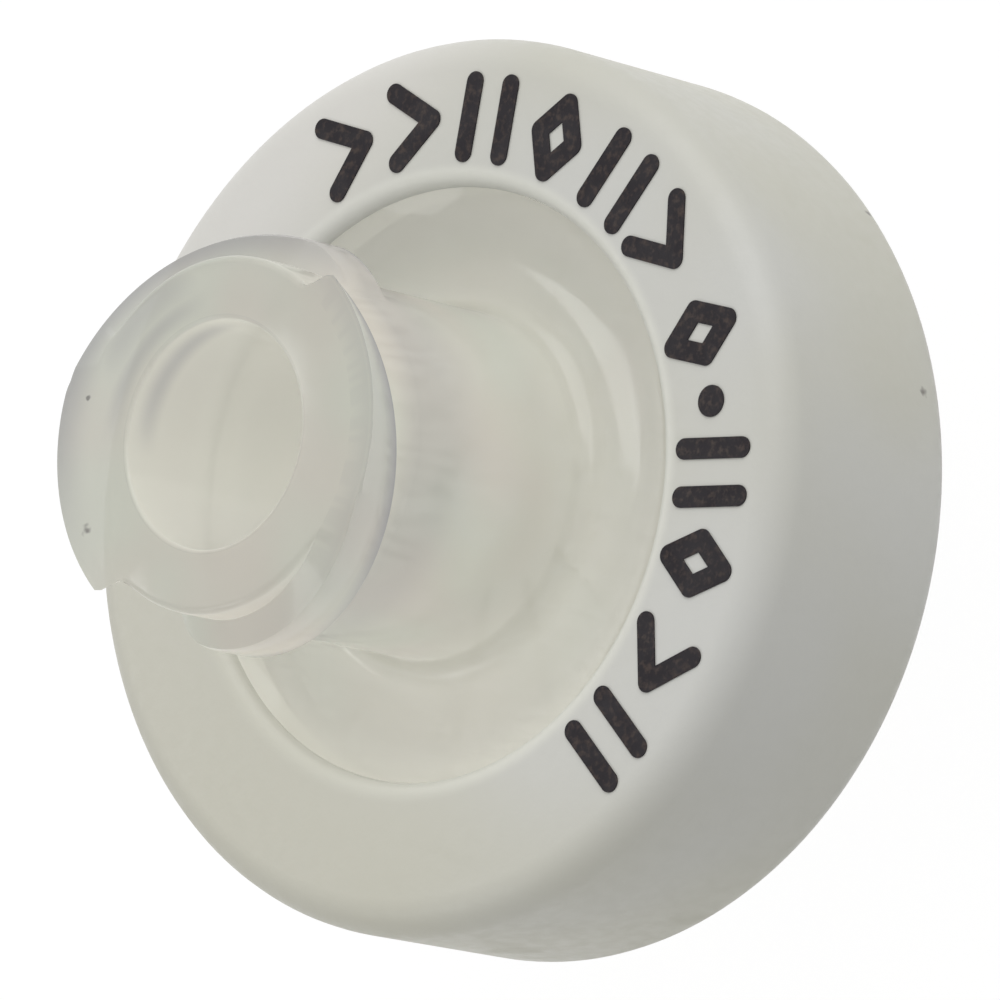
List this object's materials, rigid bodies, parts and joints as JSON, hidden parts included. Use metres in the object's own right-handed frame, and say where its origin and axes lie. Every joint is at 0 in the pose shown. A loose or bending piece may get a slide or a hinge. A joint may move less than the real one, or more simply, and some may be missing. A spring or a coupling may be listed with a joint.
{
  "type": "syringe filter",
  "caption": "Small overmoulded syringe filter: a clear threaded Luer hub rises from a dished plate in a white ring, with a tapered nozzle below.",
  "frame": {"origin": "middle of the nozzle's end face, on which the part stands", "axes": "+Z along the flow axis, from the outlet nozzle to the inlet hub; +X is 45 degrees anticlockwise, seen from the inlet, of the middle of the band of printed marks"},
  "size_m": [0.0172, 0.0172, 0.0188],
  "materials": {
    "white_overmould": "satin white polypropylene with a fine mould texture",
    "natural_polypropylene": "clear, slightly milky polypropylene, smooth",
    "glass_fibre": "matt white felted fibre",
    "membrane": "matt white microporous film",
    "black_ink": "satin black printing ink"
  },
  "bodies": {
    "root": {"overmould_ring": "white_overmould", "inlet_housing": "natural_polypropylene", "outlet_housing": "natural_polypropylene", "glass_fibre_prefilter": "glass_fibre", "pes_membrane": "membrane", "printed_marks": "black_ink"}
  },
  "joints": []
}
